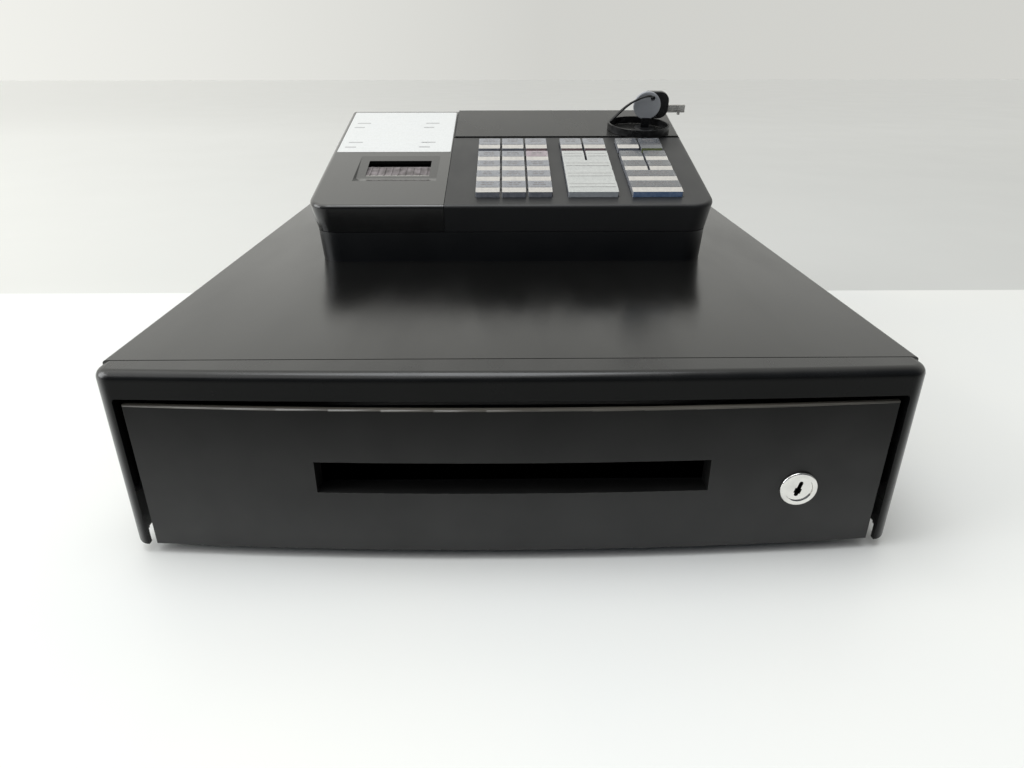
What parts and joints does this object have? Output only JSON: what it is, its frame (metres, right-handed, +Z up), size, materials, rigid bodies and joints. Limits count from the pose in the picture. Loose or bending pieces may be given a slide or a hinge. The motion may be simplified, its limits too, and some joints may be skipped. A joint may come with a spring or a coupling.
{
  "type": "cash register",
  "caption": "Compact cash register: a sloped keyboard and printer head with a mode key, on a wide steel cash-drawer cabinet with a bowed front, a media slot and a lock.",
  "frame": {"origin": "on the table under the middle of the cabinet's plan box, at the underside of the rubber feet", "axes": "+X to the cashier's right, +Y towards the back, +Z up; the drawer opens along -Y"},
  "size_m": [0.41, 0.45, 0.2172],
  "materials": {
    "cabinet_paint": "satin black powder coat",
    "bezel_plastic": "fine-grained satin black moulding",
    "front_plastic": "fine-grained matt black moulding",
    "foot_rubber": "matt",
    "drawer_steel": "satin",
    "roller_nylon": "smooth natural nylon",
    "lock_chrome": "polished",
    "till_plastic": "moulded",
    "clip_plastic": "moulded",
    "latch_steel": "zinc plated",
    "head_plastic": "satin dark moulding",
    "housing_plastic": "fine-grained dark grey moulding",
    "cover_plastic": "fine-grained grey moulding",
    "display_smoked": "smoked, polished",
    "board_green": "solder mask",
    "transformer_steel": "varnished laminations",
    "screw_steel": "zinc plated",
    "key_clear": "clear cap over a grey label",
    "key_white": "clear cap over a white label",
    "rotor_plastic": "moulded",
    "mode_key_grey": "smooth grey moulding",
    "strap_black": "smooth flexible band",
    "drawer_key_black": "moulded head on a steel blade",
    "printer_plastic": "moulded",
    "platen_rubber": "matt"
  },
  "bodies": {
    "cabinet": {"cabinet_cover": "cabinet_paint", "cabinet_base": "cabinet_paint", "front_bezel": "bezel_plastic", "rubber_feet": "foot_rubber", "latch_solenoid": "latch_steel", "head_base": "head_plastic", "keyboard_housing": "housing_plastic", "display_window": "display_smoked", "main_board": "board_green", "transformer": "transformer_steel", "case_screws": "screw_steel", "printer_frame": "printer_plastic"},
    "drawer": {"drawer_box": "drawer_steel", "drawer_front": "front_plastic", "drawer_lock_housing": "lock_chrome", "till_tray": "till_plastic", "coin_tray": "till_plastic"},
    "drawer_rollers": {"drawer_rollers": "roller_nylon"},
    "drawer_lock_plug": {"drawer_lock_plug": "lock_chrome"},
    "latch_hook": {"latch_hook": "latch_steel"},
    "printer_cover": {"printer_cover": "cover_plastic"},
    "platen_roller": {"platen_roller": "platen_rubber"},
    "mode_rotor": {"mode_rotor": "rotor_plastic"},
    "mode_key": {"mode_key": "mode_key_grey", "key_ring": "strap_black", "drawer_key": "drawer_key_black"},
    "bill_clip_1": {"bill_clip_1": "clip_plastic"},
    "bill_clip_2": {"bill_clip_2": "clip_plastic"},
    "bill_clip_3": {"bill_clip_3": "clip_plastic"},
    "bill_clip_4": {"bill_clip_4": "clip_plastic"},
    "number_key_11": {"number_key_11": "key_clear"},
    "number_key_12": {"number_key_12": "key_clear"},
    "number_key_13": {"number_key_13": "key_clear"},
    "department_key_1": {"department_key_1": "key_white"},
    "tender_key_1": {"tender_key_1": "key_clear"},
    "number_key_21": {"number_key_21": "key_clear"},
    "number_key_22": {"number_key_22": "key_clear"},
    "number_key_23": {"number_key_23": "key_clear"},
    "department_key_2": {"department_key_2": "key_white"},
    "tender_key_2": {"tender_key_2": "key_clear"},
    "number_key_31": {"number_key_31": "key_clear"},
    "number_key_32": {"number_key_32": "key_clear"},
    "number_key_33": {"number_key_33": "key_clear"},
    "department_key_3": {"department_key_3": "key_white"},
    "tender_key_31": {"tender_key_31": "key_clear"},
    "tender_key_32": {"tender_key_32": "key_clear"},
    "number_key_41": {"number_key_41": "key_clear"},
    "number_key_42": {"number_key_42": "key_clear"},
    "number_key_43": {"number_key_43": "key_clear"},
    "department_key_41": {"department_key_41": "key_white"},
    "department_key_42": {"department_key_42": "key_white"},
    "tender_key_41": {"tender_key_41": "key_clear"},
    "tender_key_42": {"tender_key_42": "key_clear"},
    "number_key_51": {"number_key_51": "key_clear"},
    "number_key_52": {"number_key_52": "key_clear"},
    "number_key_53": {"number_key_53": "key_clear"},
    "department_key_51": {"department_key_51": "key_clear"},
    "department_key_52": {"department_key_52": "key_clear"},
    "tender_key_51": {"tender_key_51": "key_clear"},
    "tender_key_52": {"tender_key_52": "key_clear"}
  },
  "joints": [
    {"name": "drawer_slide", "type": "slide", "parent": "cabinet", "child": "drawer", "axis": [0, -1, 0], "range_m": [0, 0.3]},
    {"name": "roller_spin", "type": "hinge", "parent": "drawer", "child": "drawer_rollers", "pos_m": [0, 0.18, 0.022], "axis": [1, 0, 0], "continuous": true},
    {"name": "drawer_lock_turn", "type": "hinge", "parent": "drawer", "child": "drawer_lock_plug", "pos_m": [0.1479, -0.205, 0.0415], "axis": [0, 1, 0], "range_deg": [0, 90]},
    {"name": "latch_hook_swing", "type": "hinge", "parent": "cabinet", "child": "latch_hook", "pos_m": [0, 0.214, 0.08], "axis": [1, 0, 0], "range_deg": [0, 12], "stiffness_Nm_per_rad": 0.03, "springref_deg": -17.19},
    {"name": "printer_cover_hinge", "type": "hinge", "parent": "cabinet", "child": "printer_cover", "pos_m": [-0.095, 0.1826, 0.1348], "axis": [-1, 0, 0], "range_deg": [0, 60]},
    {"name": "platen_spin", "type": "hinge", "parent": "cabinet", "child": "platen_roller", "pos_m": [-0.095, 0.06803, 0.15143], "axis": [1, 0, 0], "continuous": true},
    {"name": "mode_turn", "type": "hinge", "parent": "cabinet", "child": "mode_rotor", "pos_m": [0.121, 0.13749, 0.18599], "axis": [0, -0.2385, 0.9711], "range_deg": [-90, 30]},
    {"name": "mode_key_pull", "type": "slide", "parent": "mode_rotor", "child": "mode_key", "axis": [0, -0.2385, 0.9711], "range_m": [0, 0.014]},
    {"name": "bill_clip_1_lift", "type": "hinge", "parent": "drawer", "child": "bill_clip_1", "pos_m": [-0.13425, 0.172, 0.077], "axis": [-1, 0, 0], "range_deg": [0, 26], "stiffness_Nm_per_rad": 0.03, "springref_deg": -22.92},
    {"name": "bill_clip_2_lift", "type": "hinge", "parent": "drawer", "child": "bill_clip_2", "pos_m": [-0.04475, 0.172, 0.077], "axis": [-1, 0, 0], "range_deg": [0, 26], "stiffness_Nm_per_rad": 0.03, "springref_deg": -22.92},
    {"name": "bill_clip_3_lift", "type": "hinge", "parent": "drawer", "child": "bill_clip_3", "pos_m": [0.04475, 0.172, 0.077], "axis": [-1, 0, 0], "range_deg": [0, 26], "stiffness_Nm_per_rad": 0.03, "springref_deg": -22.92},
    {"name": "bill_clip_4_lift", "type": "hinge", "parent": "drawer", "child": "bill_clip_4", "pos_m": [0.13425, 0.172, 0.077], "axis": [-1, 0, 0], "range_deg": [0, 26], "stiffness_Nm_per_rad": 0.03, "springref_deg": -22.92},
    {"name": "number_key_11_press", "type": "slide", "parent": "cabinet", "child": "number_key_11", "axis": [0, 0.2385, -0.9711], "range_m": [0, 0.003], "stiffness_N_per_m": 200, "springref_m": -0.002},
    {"name": "number_key_12_press", "type": "slide", "parent": "cabinet", "child": "number_key_12", "axis": [0, 0.2385, -0.9711], "range_m": [0, 0.003], "stiffness_N_per_m": 200, "springref_m": -0.002},
    {"name": "number_key_13_press", "type": "slide", "parent": "cabinet", "child": "number_key_13", "axis": [0, 0.2385, -0.9711], "range_m": [0, 0.003], "stiffness_N_per_m": 200, "springref_m": -0.002},
    {"name": "department_key_1_press", "type": "slide", "parent": "cabinet", "child": "department_key_1", "axis": [0, 0.2385, -0.9711], "range_m": [0, 0.003], "stiffness_N_per_m": 200, "springref_m": -0.002},
    {"name": "tender_key_1_press", "type": "slide", "parent": "cabinet", "child": "tender_key_1", "axis": [0, 0.2385, -0.9711], "range_m": [0, 0.003], "stiffness_N_per_m": 200, "springref_m": -0.002},
    {"name": "number_key_21_press", "type": "slide", "parent": "cabinet", "child": "number_key_21", "axis": [0, 0.2385, -0.9711], "range_m": [0, 0.003], "stiffness_N_per_m": 200, "springref_m": -0.002},
    {"name": "number_key_22_press", "type": "slide", "parent": "cabinet", "child": "number_key_22", "axis": [0, 0.2385, -0.9711], "range_m": [0, 0.003], "stiffness_N_per_m": 200, "springref_m": -0.002},
    {"name": "number_key_23_press", "type": "slide", "parent": "cabinet", "child": "number_key_23", "axis": [0, 0.2385, -0.9711], "range_m": [0, 0.003], "stiffness_N_per_m": 200, "springref_m": -0.002},
    {"name": "department_key_2_press", "type": "slide", "parent": "cabinet", "child": "department_key_2", "axis": [0, 0.2385, -0.9711], "range_m": [0, 0.003], "stiffness_N_per_m": 200, "springref_m": -0.002},
    {"name": "tender_key_2_press", "type": "slide", "parent": "cabinet", "child": "tender_key_2", "axis": [0, 0.2385, -0.9711], "range_m": [0, 0.003], "stiffness_N_per_m": 200, "springref_m": -0.002},
    {"name": "number_key_31_press", "type": "slide", "parent": "cabinet", "child": "number_key_31", "axis": [0, 0.2385, -0.9711], "range_m": [0, 0.003], "stiffness_N_per_m": 200, "springref_m": -0.002},
    {"name": "number_key_32_press", "type": "slide", "parent": "cabinet", "child": "number_key_32", "axis": [0, 0.2385, -0.9711], "range_m": [0, 0.003], "stiffness_N_per_m": 200, "springref_m": -0.002},
    {"name": "number_key_33_press", "type": "slide", "parent": "cabinet", "child": "number_key_33", "axis": [0, 0.2385, -0.9711], "range_m": [0, 0.003], "stiffness_N_per_m": 200, "springref_m": -0.002},
    {"name": "department_key_3_press", "type": "slide", "parent": "cabinet", "child": "department_key_3", "axis": [0, 0.2385, -0.9711], "range_m": [0, 0.003], "stiffness_N_per_m": 200, "springref_m": -0.002},
    {"name": "tender_key_31_press", "type": "slide", "parent": "cabinet", "child": "tender_key_31", "axis": [0, 0.2385, -0.9711], "range_m": [0, 0.003], "stiffness_N_per_m": 200, "springref_m": -0.002},
    {"name": "tender_key_32_press", "type": "slide", "parent": "cabinet", "child": "tender_key_32", "axis": [0, 0.2385, -0.9711], "range_m": [0, 0.003], "stiffness_N_per_m": 200, "springref_m": -0.002},
    {"name": "number_key_41_press", "type": "slide", "parent": "cabinet", "child": "number_key_41", "axis": [0, 0.2385, -0.9711], "range_m": [0, 0.003], "stiffness_N_per_m": 200, "springref_m": -0.002},
    {"name": "number_key_42_press", "type": "slide", "parent": "cabinet", "child": "number_key_42", "axis": [0, 0.2385, -0.9711], "range_m": [0, 0.003], "stiffness_N_per_m": 200, "springref_m": -0.002},
    {"name": "number_key_43_press", "type": "slide", "parent": "cabinet", "child": "number_key_43", "axis": [0, 0.2385, -0.9711], "range_m": [0, 0.003], "stiffness_N_per_m": 200, "springref_m": -0.002},
    {"name": "department_key_41_press", "type": "slide", "parent": "cabinet", "child": "department_key_41", "axis": [0, 0.2385, -0.9711], "range_m": [0, 0.003], "stiffness_N_per_m": 200, "springref_m": -0.002},
    {"name": "department_key_42_press", "type": "slide", "parent": "cabinet", "child": "department_key_42", "axis": [0, 0.2385, -0.9711], "range_m": [0, 0.003], "stiffness_N_per_m": 200, "springref_m": -0.002},
    {"name": "tender_key_41_press", "type": "slide", "parent": "cabinet", "child": "tender_key_41", "axis": [0, 0.2385, -0.9711], "range_m": [0, 0.003], "stiffness_N_per_m": 200, "springref_m": -0.002},
    {"name": "tender_key_42_press", "type": "slide", "parent": "cabinet", "child": "tender_key_42", "axis": [0, 0.2385, -0.9711], "range_m": [0, 0.003], "stiffness_N_per_m": 200, "springref_m": -0.002},
    {"name": "number_key_51_press", "type": "slide", "parent": "cabinet", "child": "number_key_51", "axis": [0, 0.2385, -0.9711], "range_m": [0, 0.003], "stiffness_N_per_m": 200, "springref_m": -0.002},
    {"name": "number_key_52_press", "type": "slide", "parent": "cabinet", "child": "number_key_52", "axis": [0, 0.2385, -0.9711], "range_m": [0, 0.003], "stiffness_N_per_m": 200, "springref_m": -0.002},
    {"name": "number_key_53_press", "type": "slide", "parent": "cabinet", "child": "number_key_53", "axis": [0, 0.2385, -0.9711], "range_m": [0, 0.003], "stiffness_N_per_m": 200, "springref_m": -0.002},
    {"name": "department_key_51_press", "type": "slide", "parent": "cabinet", "child": "department_key_51", "axis": [0, 0.2385, -0.9711], "range_m": [0, 0.003], "stiffness_N_per_m": 200, "springref_m": -0.002},
    {"name": "department_key_52_press", "type": "slide", "parent": "cabinet", "child": "department_key_52", "axis": [0, 0.2385, -0.9711], "range_m": [0, 0.003], "stiffness_N_per_m": 200, "springref_m": -0.002},
    {"name": "tender_key_51_press", "type": "slide", "parent": "cabinet", "child": "tender_key_51", "axis": [0, 0.2385, -0.9711], "range_m": [0, 0.003], "stiffness_N_per_m": 200, "springref_m": -0.002},
    {"name": "tender_key_52_press", "type": "slide", "parent": "cabinet", "child": "tender_key_52", "axis": [0, 0.2385, -0.9711], "range_m": [0, 0.003], "stiffness_N_per_m": 200, "springref_m": -0.002}
  ],
  "couplings": [
    {"joint": "roller_spin", "follows": "drawer_slide", "rad_per_m": 125}
  ]
}
